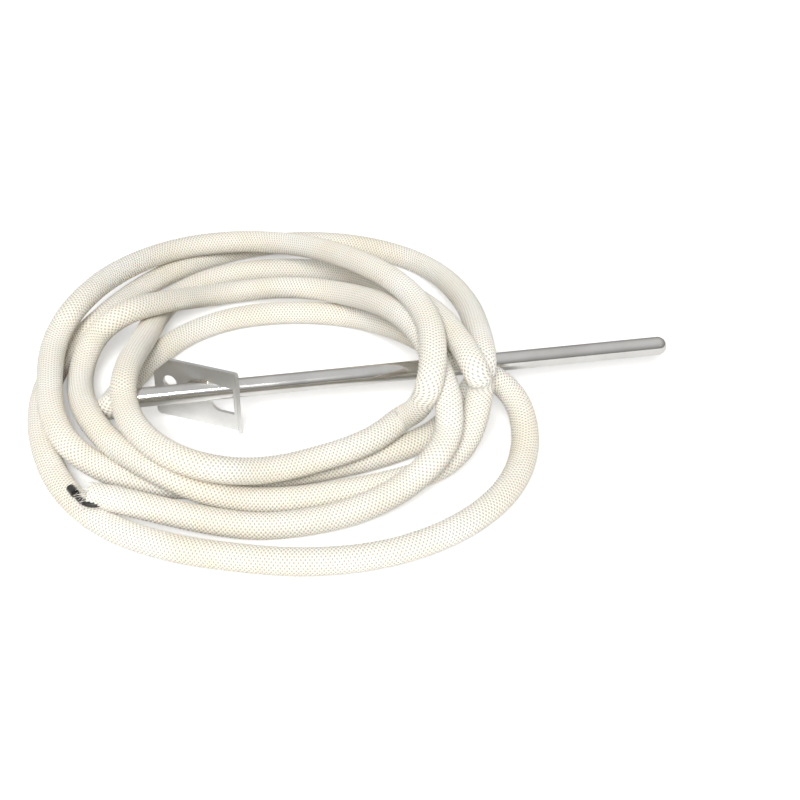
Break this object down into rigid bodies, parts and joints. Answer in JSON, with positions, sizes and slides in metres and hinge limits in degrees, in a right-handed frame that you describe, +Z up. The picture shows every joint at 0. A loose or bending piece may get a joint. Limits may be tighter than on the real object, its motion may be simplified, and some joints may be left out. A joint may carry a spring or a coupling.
{
  "type": "flame sensor probe",
  "caption": "Closed stainless probe sheath welded through a slanted mounting plate, with a long glass fibre braided lead in a loose coil that ends in crimped wire tails.",
  "frame": {"origin": "on the sheath's axis, where it crosses the middle of the mounting plate", "axes": "+X along the sheath towards its closed tip, +Z up from the surface that the coil and plate stand on"},
  "size_m": [0.2114, 0.188, 0.031],
  "materials": {
    "polished_steel": "polished stainless tube, mirror bright with fine draw lines",
    "bracket_steel": "bright rolled stainless sheet",
    "weld_steel": "small rippled weld bead, slightly heat tinted",
    "thermo_wire": "drawn thermocouple wire",
    "filler": "set magnesia cement",
    "bead_ceramic": "unglazed alumina",
    "crimp_metal": "tinned copper crimp",
    "wire_insulation": "glass fibre wire insulation",
    "braided_sleeve": "cream glass fibre braid",
    "black_insulation": "black high temperature insulation",
    "terminal_cover": "black shrink cover over a crimp"
  },
  "bodies": {
    "root": {"sheath_tube": "polished_steel", "sheath_tip": "polished_steel", "mounting_bracket": "bracket_steel", "bracket_weld": "weld_steel", "junction_bead": "thermo_wire", "element_wire_positive": "thermo_wire", "element_wire_negative": "thermo_wire", "tip_cement": "filler", "insulator_beads": "bead_ceramic", "splice_crimps": "crimp_metal", "rear_cement": "filler", "lead_wire_positive": "wire_insulation", "lead_wire_negative": "wire_insulation", "lead_exit": "braided_sleeve", "lead_coil": "braided_sleeve", "lead_end_sleeve": "braided_sleeve", "lead_tail_positive": "black_insulation", "lead_tail_negative": "black_insulation", "terminal_positive": "terminal_cover", "terminal_negative": "crimp_metal"}
  },
  "joints": []
}
